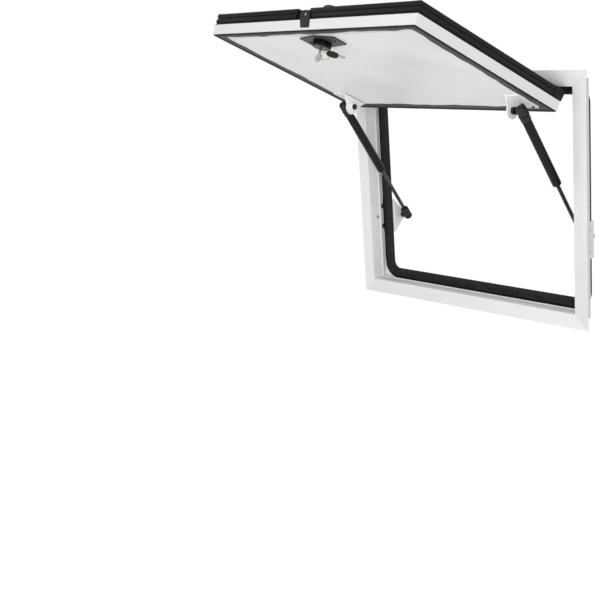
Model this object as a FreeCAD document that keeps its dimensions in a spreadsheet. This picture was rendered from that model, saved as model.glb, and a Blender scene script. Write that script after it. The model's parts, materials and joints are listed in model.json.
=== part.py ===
import FreeCAD, Part
import math
import os
import Sketcher

# Luggage door for a caravan side wall: a mitred aluminium frame with a flange and a hollow
# neck, a top-hinged sandwich door that stands open, two gas struts and a quarter-turn lock.
# +X is to the right seen from outside, +Y points into the vehicle and +Z is up. The origin
# lies on the back face of the flange, in the middle of the bottom rail's bare strip.
# The door and the struts are modelled about their own pivots and then placed.

DIMENSIONS = {
    # frame
    "frame_width": 620.0,
    "frame_height": 500.0,
    "flange_width": 30.0,
    "flange_thick": 2.5,
    "neck_inset": 17.5,
    "neck_depth": 31.5,
    "frame_wall": 2.0,
    "jamb_depth": 39.0,
    "lip_recess": 2.0,
    "corner_thick": 2.2,
    "corner_reach": 30.0,
    # seal behind the jamb
    "seal_gap": 0.3,
    "seal_inset": 26.5,
    "seal_band": 23.0,
    "seal_thick": 10.2,
    "seal_corner": 40.0,
    "seal_inner_corner": 20.0,
    # hinge along the top
    "hinge_proud": 5.6,
    "hinge_drop": 9.1,
    "hinge_end": 10.0,
    "knuckle_radius": 5.0,
    "knuckle_gap": 0.4,
    "pin_radius": 2.0,
    "pin_gap": 0.05,
    "leaf_thick": 2.0,
    "frame_leaf_reach": 30.0,
    "door_leaf_reach": 36.0,
    # door
    "open_angle": 116.0,
    "door_gap": 5.0,
    "door_drop": 15.9,
    "closing_gap": 0.8,
    "rim_thick": 22.5,
    "rim_width": 12.0,
    "rim_corner": 20.0,
    "rim_round": 3.0,
    "rim_first_rib": 9.0,
    "rim_second_rib": 7.5,
    "groove_width": 2.0,
    "groove_depth": 2.0,
    "edge_thick": 20.0,
    "edge_width": 26.0,
    "skin_thick": 1.5,
    "trim_thick": 2.0,
    "trim_width": 21.0,
    "trim_inset": 1.0,
    "trim_corner": 8.0,
    # struts
    "strut_inset": 70.0,
    "door_pivot_run": 56.0,
    "door_pivot_height": 20.0,
    "frame_pivot_depth": 75.5,
    "frame_pivot_rise": 162.0,
    "tube_radius": 9.0,
    "tube_wall": 1.5,
    "tube_length": 171.0,
    "tube_end": 3.0,
    "tube_round": 3.0,
    "gland_length": 10.0,
    "rod_radius": 4.0,
    "rod_gap": 0.3,
    "rod_engage": 25.0,
    "piston_length": 8.0,
    "socket_radius": 8.8,
    "socket_round": 5.0,
    "socket_cap": 9.0,
    "socket_reach": 20.0,
    "socket_shoulder": 1.5,
    "ball_radius": 5.0,
    "ball_neck": 3.5,
    "ball_gap": 0.3,
    # strut brackets and studs
    "plate_thick": 3.0,
    "stud_radius": 4.0,
    "stud_gap": 0.1,
    "collar_radius": 7.0,
    "collar_length": 6.0,
    "nut_radius": 6.5,
    "nut_length": 6.5,
    "frame_plate_gap": 16.0,
    "frame_plate_round": 12.0,
    "bracket_height": 74.0,
    "bracket_sheet": 2.5,
    "bracket_lap": 6.5,
    "bracket_clear": 0.5,
    "door_plate_gap": 24.0,
    "door_plate_round": 16.0,
    "foot_width": 34.0,
    "foot_length": 65.0,
    # lock
    "lock_inset": 50.0,
    "lock_plate_length": 92.0,
    "lock_plate_width": 52.0,
    "lock_plate_flat": 42.0,
    "lock_plate_tip": 17.0,
    "lock_plate_thick": 3.0,
    "lock_plate_bevel": 1.0,
    "spindle_radius": 6.0,
    "spindle_gap": 0.3,
    "boss_radius": 18.0,
    "boss_height": 11.0,
    "boss_round": 2.0,
    "flute_radius": 2.6,
    "knob_radius": 17.0,
    "knob_height": 10.0,
    "knob_round": 7.0,
    "keyway_length": 8.0,
    "keyway_width": 1.8,
    "keyway_depth": 4.0,
    "latch_width": 18.0,
    "latch_tip": 14.0,
    "latch_reach": 14.0,
    "latch_taper": 16.0,
    "latch_thick": 2.0,
    "latch_hook": 8.0,
    "latch_hole": 1.6,
    "latch_notch": 2.5,
    "notch_gap": 2.0,
    # keys left in the lock
    "key_thick": 2.0,
    "key_bow": 8.0,
    "key_bow_stand": 19.0,
    "key_blade": 6.0,
    "key_hole": 1.6,
    "key_hole_inset": 3.6,
    "ring_wire": 0.8,
    "spare_run": 14.0,
    "spare_stand": 15.0,
    "grip_length": 25.0,
    "spare_blade": 17.0,
    "spare_lean": 15.0,
}

KNUCKLES = 5
FLUTES = 14

doc = FreeCAD.newDocument("luggage_door")
sheet = doc.addObject("Spreadsheet::Sheet", "dims")
for row, (alias, value) in enumerate(DIMENSIONS.items(), start=1):
    sheet.set("A%d" % row, alias)
    sheet.set("B%d" % row, str(value))
    sheet.setAlias("B%d" % row, alias)
doc.recompute()


class Size:
    # A length or an angle: its present value, and the sheet expression that gives it.

    def __init__(self, value, text):
        self.value = float(value)
        self.text = text

    def __add__(self, other):
        other = size(other)
        return Size(self.value + other.value, "(%s + %s)" % (self.text, other.text))

    def __sub__(self, other):
        other = size(other)
        return Size(self.value - other.value, "(%s - %s)" % (self.text, other.text))

    def __mul__(self, factor):
        return Size(self.value * factor, "(%s * %s)" % (self.text, factor))

    def __truediv__(self, factor):
        return Size(self.value / factor, "(%s / %s)" % (self.text, factor))

    def __neg__(self):
        return Size(-self.value, "(-1 * %s)" % self.text)

    __rmul__ = __mul__
    __radd__ = __add__


def size(value):
    return value if isinstance(value, Size) else Size(value, repr(float(value)))


def turned(along, across, angle):
    # A point of the YZ plane turned about the origin, from +Y towards +Z.
    cosine = Size(math.cos(math.radians(angle.value)), "cos(%s)" % angle.text)
    sine = Size(math.sin(math.radians(angle.value)), "sin(%s)" % angle.text)
    y = Size(
        along.value * cosine.value - across.value * sine.value,
        "(%s * %s - %s * %s)" % (along.text, cosine.text, across.text, sine.text),
    )
    z = Size(
        along.value * sine.value + across.value * cosine.value,
        "(%s * %s + %s * %s)" % (along.text, sine.text, across.text, cosine.text),
    )
    return y, z


def distance(first, second):
    return Size(
        math.hypot(first.value, second.value),
        "sqrt((%s) ^ 2 + (%s) ^ 2)" % (first.text, second.text),
    )


class Cells:
    # The sheet's values by name.
    pass


d = Cells()
for alias in DIMENSIONS:
    setattr(d, alias, Size(sheet.get(alias), "dims." + alias))

# Places that several pieces share.
sill = -d.neck_inset / 2
head = sill + d.frame_height
jamb_half = d.frame_width / 2 - d.flange_width
jamb_floor = sill + d.flange_width
jamb_top = head - d.flange_width
seal_front = d.jamb_depth + d.seal_gap
seal_back = seal_front + d.seal_thick
hinge_y = -d.flange_thick - d.hinge_proud
hinge_z = jamb_top - d.hinge_drop
hinge_half = jamb_half - d.door_gap - d.hinge_end

# The closed door, measured from the hinge axis.
door_half = jamb_half - d.door_gap
door_top = -d.door_drop
door_bottom = jamb_floor + d.door_gap - hinge_z
trim_face = seal_front - d.closing_gap - hinge_y
door_inner = trim_face - d.trim_thick
door_middle = door_inner - d.edge_thick
door_outer = door_middle - d.rim_thick
lock_z = door_bottom + d.lock_inset
pivot_y = door_inner + d.door_pivot_height
pivot_z = door_top - d.door_pivot_run

# The struts as they stand with the door open.
strut_x = d.frame_width / 2 - d.strut_inset
frame_plate_x = strut_x + d.frame_plate_gap
door_plate_x = strut_x - d.door_plate_gap
open_y, open_z = turned(pivot_y, pivot_z, -d.open_angle)
run_y = d.frame_pivot_depth - (hinge_y + open_y)
run_z = hinge_z + open_z - d.frame_pivot_rise
strut_length = distance(run_y, run_z)
strut_lean = math.degrees(math.atan2(run_y.value, run_z.value))

X_AXIS = FreeCAD.Vector(1, 0, 0)
Y_AXIS = FreeCAD.Vector(0, 1, 0)
Z_AXIS = FreeCAD.Vector(0, 0, 1)
frame_place = FreeCAD.Placement()
door_place = FreeCAD.Placement(
    FreeCAD.Vector(0, hinge_y.value, hinge_z.value),
    FreeCAD.Rotation(X_AXIS, -d.open_angle.value),
)
strut_turn = FreeCAD.Rotation(X_AXIS, strut_lean)
SIDES = {"left": -1, "right": 1}
NORMAL_SIGN = {"XY": 1, "XZ": -1, "YZ": 1}
TOUCH = 1e-4
pieces = []


def new_body(label, place=frame_place):
    body = doc.addObject("PartDesign::Body", label)
    body.Label = label
    body.Placement = place
    pieces.append(body)
    return body


def new_sketch(body, plane, level):
    # A sketch on one of the body's origin planes, moved along the normal to the given level.
    sketch = body.newObject("Sketcher::SketchObject", "%s_sketch" % body.Name)
    role = plane + "_Plane"
    support = [f for f in body.Origin.OriginFeatures if f.Role == role]
    sketch.AttachmentSupport = [(support[0], "")]
    sketch.MapMode = "FlatFace"
    offset = size(level) * NORMAL_SIGN[plane]
    sketch.setExpression("AttachmentOffset.Base.z", offset.text)
    return sketch


def fix_point(sketch, geometry, end, point):
    for kind, value in zip(("DistanceX", "DistanceY"), point):
        value = size(value)
        rule = Sketcher.Constraint(kind, -1, 1, geometry, end, value.value)
        index = sketch.addConstraint(rule)
        sketch.setExpression("Constraints[%d]" % index, value.text)


def flat(point):
    return FreeCAD.Vector(size(point[0]).value, size(point[1]).value, 0)


def draw_polygon(sketch, points):
    count = len(points)
    lines = []
    for i in range(count):
        edge = Part.LineSegment(flat(points[i]), flat(points[(i + 1) % count]))
        lines.append(sketch.addGeometry(edge, False))
    for i in range(count):
        joint = Sketcher.Constraint("Coincident", lines[i], 2, lines[(i + 1) % count], 1)
        sketch.addConstraint(joint)
        fix_point(sketch, lines[i], 1, points[i])


def draw_arched(sketch, points, arcs):
    # A closed outline whose listed edges are arcs: edge number to centre, radius and turn,
    # where a turn of 1 runs counter-clockwise and -1 clockwise.
    count = len(points)
    edges = []
    for i in range(count):
        start = flat(points[i])
        end = flat(points[(i + 1) % count])
        if i not in arcs:
            edges.append((sketch.addGeometry(Part.LineSegment(start, end), False), 1, 2))
            continue
        centre, radius, turn = arcs[i]
        middle = flat(centre)
        circle = Part.Circle(middle, FreeCAD.Vector(0, 0, 1), radius.value)
        angles = [math.atan2(p.y - middle.y, p.x - middle.x) for p in (start, end)]
        first, last = angles[::turn]
        geometry = sketch.addGeometry(Part.ArcOfCircle(circle, first, last), False)
        edges.append((geometry, 1, 2) if turn > 0 else (geometry, 2, 1))
        index = sketch.addConstraint(Sketcher.Constraint("Radius", geometry, radius.value))
        sketch.setExpression("Constraints[%d]" % index, radius.text)
    for i in range(count):
        geometry, start, end = edges[i]
        following, next_start, next_end = edges[(i + 1) % count]
        sketch.addConstraint(Sketcher.Constraint("Coincident", geometry, end, following, next_start))
        fix_point(sketch, geometry, start, points[i])


def draw_circle(sketch, centre, radius):
    circle = Part.Circle(flat(centre), FreeCAD.Vector(0, 0, 1), radius.value)
    geometry = sketch.addGeometry(circle, False)
    fix_point(sketch, geometry, 3, centre)
    index = sketch.addConstraint(Sketcher.Constraint("Radius", geometry, radius.value))
    sketch.setExpression("Constraints[%d]" % index, radius.text)


def draw_rounded(sketch, low, high, radius):
    # A rectangle from low to high with equally rounded corners.
    x0, y0 = low
    x1, y1 = high
    r = radius
    runs = [
        ((x0 + r, y0), (x1 - r, y0), (x1 - r, y0 + r), -90),
        ((x1, y0 + r), (x1, y1 - r), (x1 - r, y1 - r), 0),
        ((x1 - r, y1), (x0 + r, y1), (x0 + r, y1 - r), 90),
        ((x0, y1 - r), (x0, y0 + r), (x0 + r, y0 + r), 180),
    ]
    lines = []
    arcs = []
    for start, end, centre, angle in runs:
        lines.append(sketch.addGeometry(Part.LineSegment(flat(start), flat(end)), False))
        circle = Part.Circle(flat(centre), FreeCAD.Vector(0, 0, 1), r.value)
        sweep = Part.ArcOfCircle(circle, math.radians(angle), math.radians(angle + 90))
        arcs.append(sketch.addGeometry(sweep, False))
    for i, (start, end, centre, angle) in enumerate(runs):
        fix_point(sketch, lines[i], 1, start)
        fix_point(sketch, lines[i], 2, end)
        following = lines[(i + 1) % len(lines)]
        sketch.addConstraint(Sketcher.Constraint("Coincident", arcs[i], 1, lines[i], 2))
        sketch.addConstraint(Sketcher.Constraint("Coincident", arcs[i], 2, following, 1))
        index = sketch.addConstraint(Sketcher.Constraint("Radius", arcs[i], r.value))
        sketch.setExpression("Constraints[%d]" % index, r.text)


def pad(body, plane, start, length, draw):
    # Adds the drawn outline, from start over length along the plane's positive axis.
    level = start if NORMAL_SIGN[plane] > 0 else start + length
    sketch = new_sketch(body, plane, level)
    draw(sketch)
    feature = body.newObject("PartDesign::Pad", "%s_pad" % body.Name)
    feature.Profile = sketch
    feature.setExpression("Length", size(length).text)
    return feature


def cut(body, plane, start, length, draw):
    # Removes the drawn outline, from start over length along the plane's positive axis.
    level = start + length if NORMAL_SIGN[plane] > 0 else start
    sketch = new_sketch(body, plane, level)
    draw(sketch)
    feature = body.newObject("PartDesign::Pocket", "%s_cut" % body.Name)
    feature.Profile = sketch
    feature.setExpression("Length", size(length).text)
    return feature


def revolve(body, plane, axis, points, arcs=()):
    sketch = new_sketch(body, plane, size(0))
    draw_arched(sketch, points, arcs)
    feature = body.newObject("PartDesign::Revolution", "%s_turn" % body.Name)
    feature.Profile = sketch
    feature.ReferenceAxis = (sketch, [axis])
    feature.Angle = 360
    return feature


def sphere(body, radius):
    feature = body.newObject("PartDesign::AdditiveSphere", "%s_ball" % body.Name)
    feature.setExpression("Radius", radius.text)
    return feature


def ease_edges(body, kind, size_name, amount, wanted):
    # Rounds or bevels the edges of the body's last feature whose ends and middle are all wanted.
    doc.recompute()
    base = body.Tip
    names = []
    for number, edge in enumerate(base.Shape.Edges, start=1):
        middle = edge.valueAt((edge.FirstParameter + edge.LastParameter) / 2)
        points = [vertex.Point for vertex in edge.Vertexes] + [middle]
        if all(wanted(point) for point in points):
            names.append("Edge%d" % number)
    feature = body.newObject("PartDesign::" + kind, "%s_ease" % body.Name)
    feature.Base = (base, names)
    feature.setExpression(size_name, amount.text)


def facing(side):
    # Turns a piece that is drawn for the right side round to the left.
    return FreeCAD.Rotation(Z_AXIS, 0 if side > 0 else 180)


def sided(side, near, far):
    # The start along X of a span from near to far, mirrored on the left side.
    return near if side > 0 else -far


def mirrored(points, side):
    # The outline on the right side, or its mirror image drawn the same way round.
    if side > 0:
        return points
    return [(-x, y) for x, y in reversed(points)]


def box_outline(low, high):
    return lambda sketch: draw_polygon(
        sketch, [low, (high[0], low[1]), high, (low[0], high[1])]
    )


# Frame rails, each drawn along X with its outer edge at zero height and its ends mitred.
def frame_rail(label, length, place):
    body = new_body(label, place)
    wall = d.frame_wall
    lip = d.flange_width - d.lip_recess
    outline = [
        (-d.flange_thick, size(0)),
        (-d.flange_thick, d.flange_width),
        (d.neck_depth, d.flange_width),
        (d.neck_depth, lip),
        (d.jamb_depth, lip),
        (d.jamb_depth, lip - wall),
        (d.neck_depth, lip - wall),
        (d.neck_depth, d.neck_inset),
        (size(0), d.neck_inset),
        (size(0), size(0)),
    ]

    def section(sketch):
        draw_polygon(sketch, outline)
        low = (size(0), d.neck_inset + wall)
        high = (d.neck_depth - wall, d.flange_width - wall)
        box_outline(low, high)(sketch)

    pad(body, "YZ", -length / 2, length, section)
    mitre_ends(body, length, d.flange_width, -d.flange_thick, d.flange_thick + d.jamb_depth)


def mitre_ends(body, length, width, start, depth):
    for side in SIDES.values():
        corner = [
            (length / 2 * side, size(0)),
            (length / 2 * side, width),
            ((length / 2 - width) * side, width),
        ]
        cut(body, "XZ", start, depth, lambda sketch: draw_polygon(sketch, corner))


def ring_places(half_width, low, high):
    # Placements for four rails round a rectangle in the XZ plane.
    middle = ((low + high) / 2).value
    turns = {
        "bottom": (0, FreeCAD.Vector(0, 0, low.value)),
        "top": (180, FreeCAD.Vector(0, 0, high.value)),
        "left": (90, FreeCAD.Vector(-half_width.value, 0, middle)),
        "right": (-90, FreeCAD.Vector(half_width.value, 0, middle)),
    }
    return {
        name: FreeCAD.Placement(base, FreeCAD.Rotation(Y_AXIS, angle))
        for name, (angle, base) in turns.items()
    }


def frame_rails():
    places = ring_places(d.frame_width / 2, sill, head)
    for name in ("bottom", "top"):
        frame_rail("frame_%s_rail" % name, d.frame_width, places[name])
    for name in ("left", "right"):
        frame_rail("frame_%s_rail" % name, d.frame_height, places[name])


def frame_seal():
    body = new_body("frame_seal")
    half = d.frame_width / 2 - d.seal_inset

    def section(sketch):
        inset = d.seal_inset
        draw_rounded(sketch, (-half, sill + inset), (half, head - inset), d.seal_corner)
        inset = inset + d.seal_band
        inner = half - d.seal_band
        corner = d.seal_inner_corner
        draw_rounded(sketch, (-inner, sill + inset), (inner, head - inset), corner)

    pad(body, "XZ", seal_front, d.seal_thick, section)


def corner_keys():
    # A web behind each corner of the jamb, seated on the lip, hollowed to go round the seal.
    reach = d.corner_reach
    half = jamb_half + d.lip_recess + d.frame_wall
    drum_x = d.frame_width / 2 - d.seal_inset - d.seal_corner
    outset = d.lip_recess + d.frame_wall
    levels = {
        -1: (jamb_floor - outset, sill + d.seal_inset + d.seal_corner),
        1: (jamb_top + outset, head - d.seal_inset - d.seal_corner),
    }
    solids = []
    for x_side in (-1, 1):
        for level, drum_z in levels.values():
            inward = -1 if level.value > drum_z.value else 1
            ends_x = (half.value * x_side, (half - reach).value * x_side)
            ends_z = (level.value, level.value + reach.value * inward)
            block = doc.addObject("Part::Box", "web_block")
            block.setExpression("Length", reach.text)
            block.setExpression("Width", d.corner_thick.text)
            block.setExpression("Height", reach.text)
            block.Placement.Base = FreeCAD.Vector(min(ends_x), d.jamb_depth.value, min(ends_z))
            drum = doc.addObject("Part::Cylinder", "web_hollow")
            drum.setExpression("Radius", (d.seal_corner + d.seal_gap).text)
            drum.setExpression("Height", (d.corner_thick + d.seal_thick).text)
            base = FreeCAD.Vector(drum_x.value * x_side, seal_back.value, drum_z.value)
            drum.Placement = FreeCAD.Placement(base, FreeCAD.Rotation(X_AXIS, 90))
            web = doc.addObject("Part::Cut", "corner_web")
            web.Base = block
            web.Tool = drum
            solids.append(web)
    keys = doc.addObject("Part::Compound", "frame_corner_keys")
    keys.Links = solids
    keys.Label = "frame_corner_keys"
    pieces.append(keys)


def knuckle_spans(own):
    # Start and length along X of the knuckles that one leaf carries: the even or the odd ones.
    pitch = hinge_half * 2 / KNUCKLES
    first = 0 if own == "frame" else 1
    for index in range(first, KNUCKLES, 2):
        yield -hinge_half + pitch * index + d.knuckle_gap / 2, pitch - d.knuckle_gap


def hinge_leaf(label, place, own, plate_low, plate_high, web_low, web_high):
    body = new_body(label, place)
    half_web = d.leaf_thick / 2
    pad(body, "YZ", -hinge_half, hinge_half * 2, box_outline(plate_low, plate_high))
    for start, length in knuckle_spans(own):
        web = box_outline((-half_web, web_low), (half_web, web_high))
        pad(body, "YZ", start, length, web)
        barrel = lambda sketch: draw_circle(sketch, (size(0), size(0)), d.knuckle_radius)
        pad(body, "YZ", start, length, barrel)
    bore = lambda sketch: draw_circle(sketch, (size(0), size(0)), d.pin_radius + d.pin_gap)
    cut(body, "YZ", -hinge_half, hinge_half * 2, bore)


def hinge():
    half_web = d.leaf_thick / 2
    axis_place = FreeCAD.Placement(
        FreeCAD.Vector(0, hinge_y.value, hinge_z.value), FreeCAD.Rotation()
    )
    top = d.hinge_drop
    low = (-half_web, top - d.leaf_thick)
    high = (d.frame_leaf_reach, top)
    hinge_leaf("hinge_frame_leaf", axis_place, "frame", low, high, size(0), top - d.leaf_thick)
    low = (-half_web, door_top)
    high = (d.door_leaf_reach, door_top + d.leaf_thick)
    hinge_leaf("hinge_door_leaf", door_place, "door", low, high, door_top + d.leaf_thick, size(0))
    pin = new_body("hinge_pin", axis_place)
    round_pin = lambda sketch: draw_circle(sketch, (size(0), size(0)), d.pin_radius)
    pad(pin, "YZ", -hinge_half, hinge_half * 2, round_pin)


# Door leaf, drawn closed about the hinge axis.
def door_edge(label, length, place):
    body = new_body(label, place)
    section = box_outline((door_middle, size(0)), (door_inner, d.edge_width))
    pad(body, "YZ", -length / 2, length, section)
    mitre_ends(body, length, d.edge_width, door_middle, d.edge_thick)


def door_edges():
    places = ring_places(door_half, door_bottom, door_top)
    for name in ("bottom", "top"):
        door_edge("door_%s_edge" % name, door_half * 2, door_place.multiply(places[name]))
    for name in ("left", "right"):
        height = door_top - door_bottom
        door_edge("door_%s_edge" % name, height, door_place.multiply(places[name]))


def door_rectangle(inset):
    half = door_half - inset
    return (-half, door_bottom + inset), (half, door_top - inset)


def lock_hole(body, start, length):
    radius = d.spindle_radius + d.spindle_gap
    hole = lambda sketch: draw_circle(sketch, (size(0), lock_z), radius)
    cut(body, "XZ", start, length, hole)


def inside_rim(sketch):
    low, high = door_rectangle(d.rim_width)
    draw_rounded(sketch, low, high, d.rim_corner - d.rim_width)


def rim_seal():
    # The rubber band round the leaf's outer half: a rounded edge, ribs and a notch for the catch.
    rim = new_body("door_rim_seal", door_place)
    inner_low, inner_high = door_rectangle(d.rim_width)

    def band(sketch):
        low, high = door_rectangle(size(0))
        draw_rounded(sketch, low, high, d.rim_corner)
        inside_rim(sketch)

    def on_outer_edge(point):
        inside_x = abs(point.x) < inner_high[0].value + TOUCH
        inside_z = inner_low[1].value - TOUCH < point.z < inner_high[1].value + TOUCH
        return abs(point.y - door_outer.value) < TOUCH and not (inside_x and inside_z)

    def groove(sketch):
        low, high = door_rectangle(-d.groove_depth)
        draw_rounded(sketch, low, high, d.rim_corner + d.groove_depth)
        low, high = door_rectangle(d.groove_depth)
        draw_rounded(sketch, low, high, d.rim_corner - d.groove_depth)

    pad(rim, "XZ", door_outer, d.rim_thick, band)
    ease_edges(rim, "Fillet", "Radius", d.rim_round, on_outer_edge)
    first = door_outer + d.rim_first_rib
    second = first + d.groove_width + d.rim_second_rib
    for start in (first, second):
        cut(rim, "XZ", start, d.groove_width, groove)
    half = d.latch_width / 2 + d.notch_gap
    notch = box_outline((-half, door_bottom - d.latch_notch), (half, door_bottom + d.latch_notch))
    cut(rim, "XZ", door_outer, d.rim_thick, notch)


def door_panels():
    # Each layer's outlines, with their start and depth from the outside in.
    inside_edges = box_outline(*door_rectangle(d.edge_width))
    core_start = door_outer + d.skin_thick
    core_end = door_inner - d.skin_thick
    layers = {
        "door_outer_skin": [(inside_rim, door_outer, core_start)],
        "door_core": [(inside_rim, core_start, door_middle), (inside_edges, door_middle, core_end)],
        "door_inner_panel": [(inside_edges, core_end, door_inner)],
    }
    for label, steps in layers.items():
        body = new_body(label, door_place)
        for outline, start, end in steps:
            pad(body, "XZ", start, end - start, outline)
        first = steps[0][1]
        last = steps[-1][2]
        lock_hole(body, first, last - first)
    trim = new_body("door_inner_trim", door_place)

    def strip(sketch):
        low, high = door_rectangle(d.trim_inset)
        draw_rounded(sketch, low, high, d.trim_corner)
        box_outline(*door_rectangle(d.trim_inset + d.trim_width))(sketch)

    pad(trim, "XZ", door_inner, d.trim_thick, strip)


# Strut brackets with their studs.
def eye_plate(body, start, base, flank, centre, radius):
    # A plate that narrows from its base line to a round eye about the stud's hole.
    y, z = centre
    outline = [
        (base, z - flank),
        (y, z - radius),
        (y + radius, z),
        (y, z + radius),
        (base, z + flank),
    ]
    eye = {1: (centre, radius, 1), 2: (centre, radius, 1)}
    pad(body, "YZ", start, d.plate_thick, lambda sketch: draw_arched(sketch, outline, eye))
    hole = lambda sketch: draw_circle(sketch, centre, d.stud_radius + d.stud_gap)
    cut(body, "YZ", start, d.plate_thick, hole)


def frame_bracket(name, side):
    # A folded sheet: a leg on the jamb's lip, a web behind the seal and the eye plate.
    body = new_body("%s_frame_bracket" % name)
    leg = jamb_half + d.lip_recess + d.frame_wall
    lap = d.jamb_depth - d.bracket_lap
    web = seal_back + d.bracket_clear
    plate = frame_plate_x
    outline = [
        (leg, lap),
        (leg + d.bracket_sheet, lap),
        (leg + d.bracket_sheet, web + d.bracket_sheet),
        (plate, web + d.bracket_sheet),
        (plate, web),
        (leg, web),
    ]
    bottom = d.frame_pivot_rise - d.bracket_height / 2
    section = lambda sketch: draw_polygon(sketch, mirrored(outline, side))
    pad(body, "XY", bottom, d.bracket_height, section)
    start = sided(side, plate, plate + d.plate_thick)
    centre = (d.frame_pivot_depth, d.frame_pivot_rise)
    eye_plate(body, start, web, d.bracket_height / 2, centre, d.frame_plate_round)


def frame_stud(name, side):
    # The stud's neck ends at the socket's mouth: the ball is inside the strut's end fitting.
    place = FreeCAD.Placement(
        FreeCAD.Vector(0, d.frame_pivot_depth.value, d.frame_pivot_rise.value),
        facing(side),
    )
    body = new_body("%s_frame_stud" % name, place)
    tip = strut_x + d.socket_radius + d.ball_gap
    plate = frame_plate_x
    back = plate + d.plate_thick
    end = back + d.nut_length
    outline = [
        (tip, size(0)),
        (tip, d.stud_radius),
        (plate - d.collar_length, d.stud_radius),
        (plate - d.collar_length, d.collar_radius),
        (plate, d.collar_radius),
        (plate, d.stud_radius),
        (back, d.stud_radius),
        (back, d.nut_radius),
        (end, d.nut_radius),
        (end, size(0)),
    ]
    revolve(body, "XY", "H_Axis", outline)


def door_bracket(name, side):
    # A foot on the inner panel and an upright eye plate along its inner side.
    body = new_body("%s_door_bracket" % name, door_place)
    plate = door_plate_x
    half = d.foot_length / 2
    start = sided(side, plate, plate + d.foot_width)
    low = (door_inner, pivot_z - half)
    high = (door_inner + d.plate_thick, pivot_z + half)
    pad(body, "YZ", start, d.foot_width, box_outline(low, high))
    start = sided(side, plate, plate + d.plate_thick)
    centre = (pivot_y, pivot_z)
    eye_plate(body, start, door_inner, half, centre, d.door_plate_round)


def door_stud(name, side):
    shift = FreeCAD.Placement(
        FreeCAD.Vector(0, pivot_y.value, pivot_z.value), facing(side)
    )
    body = new_body("%s_door_stud" % name, door_place.multiply(shift))
    plate = door_plate_x
    outer = plate + d.plate_thick
    back = plate - d.nut_length
    neck = d.ball_neck
    outline = [
        (back, size(0)),
        (back, d.nut_radius),
        (plate, d.nut_radius),
        (plate, d.stud_radius),
        (outer, d.stud_radius),
        (outer, d.collar_radius),
        (outer + d.collar_length, d.collar_radius),
        (outer + d.collar_length, neck),
        (strut_x, neck),
        (strut_x, size(0)),
    ]
    revolve(body, "XY", "H_Axis", outline)
    ball = sphere(body, d.ball_radius)
    ball.setExpression("Placement.Base.x", strut_x.text)


# Gas struts: the tube hangs from the door, the rod stands on the frame.
def strut_place(side, y, z):
    base = FreeCAD.Vector(strut_x.value * side, y.value, z.value)
    return FreeCAD.Placement(base, strut_turn)


def end_fitting(label, place, turn):
    # A moulded socket about the ball: a rounded cap and a shank as thick as the tube.
    # A turn of -1 points the shank down and 1 points it up.
    body = new_body(label, place)
    radius = d.socket_radius
    cap = -d.socket_cap * turn
    foot = d.socket_reach * turn
    bend = d.socket_round
    outline = [
        (size(0), foot),
        (radius - d.socket_shoulder, foot),
        (radius, foot - d.socket_shoulder * turn),
        (radius, cap + bend * turn),
        (radius - bend, cap),
        (size(0), cap),
    ]
    corner = {3: ((radius - bend, cap + bend * turn), bend, -turn)}
    revolve(body, "XZ", "V_Axis", outline, corner)
    return body


def strut_upper(name, side):
    place = strut_place(side, hinge_y + open_y, hinge_z + open_z)
    socket = end_fitting("%s_strut_upper_socket" % name, place, -1)
    seat = d.ball_radius + d.ball_gap
    mouth = d.socket_radius + d.ball_gap
    start = sided(side, -mouth, seat)
    bore = lambda sketch: draw_circle(sketch, (size(0), size(0)), seat)
    cut(socket, "YZ", start, mouth + seat, bore)
    tube = new_body("%s_strut_tube" % name, place)
    top = -d.socket_reach
    bottom = top - d.tube_length
    gland = d.rod_radius + d.rod_gap
    bore_radius = d.tube_radius - d.tube_wall
    bend = d.tube_round
    outline = [
        (size(0), top),
        (d.tube_radius, top),
        (d.tube_radius, bottom + bend),
        (d.tube_radius - bend, bottom),
        (gland, bottom),
        (gland, bottom + d.gland_length),
        (bore_radius, bottom + d.gland_length),
        (bore_radius, top - d.tube_end),
        (size(0), top - d.tube_end),
    ]
    rolled_end = {2: ((d.tube_radius - bend, bottom + bend), bend, -1)}
    revolve(tube, "XZ", "V_Axis", outline, rolled_end)


def strut_lower(name, side):
    place = strut_place(side, d.frame_pivot_depth, d.frame_pivot_rise)
    end_fitting("%s_strut_lower_socket" % name, place, 1)
    rod = new_body("%s_strut_rod" % name, place)
    mouth = strut_length - d.socket_reach - d.tube_length
    piston = mouth + d.gland_length + d.rod_engage
    head_radius = d.tube_radius - d.tube_wall - d.rod_gap
    outline = [
        (size(0), d.socket_reach),
        (d.rod_radius, d.socket_reach),
        (d.rod_radius, piston),
        (head_radius, piston),
        (head_radius, piston + d.piston_length),
        (size(0), piston + d.piston_length),
    ]
    revolve(rod, "XZ", "V_Axis", outline)


# Lock at the free edge: a fixed plate and catch, and the pieces that turn together.
def lock_plate():
    plate = new_body("lock_plate", door_place)
    half = d.lock_plate_length / 2
    top = d.lock_plate_width / 2
    flat_half = d.lock_plate_flat / 2
    tip = d.lock_plate_tip / 2
    corners = [(half, tip), (flat_half, top), (-flat_half, top), (-half, tip)]
    outline = [(x, lock_z + z) for x, z in corners]
    outline += [(-x, lock_z - z) for x, z in corners]
    pad(plate, "XZ", door_inner, d.lock_plate_thick, lambda sketch: draw_polygon(sketch, outline))
    face = (door_inner + d.lock_plate_thick).value
    on_face = lambda point: abs(point.y - face) < TOUCH
    ease_edges(plate, "Chamfer", "Size", d.lock_plate_bevel, on_face)
    lock_hole(plate, door_inner, d.lock_plate_thick)


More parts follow.
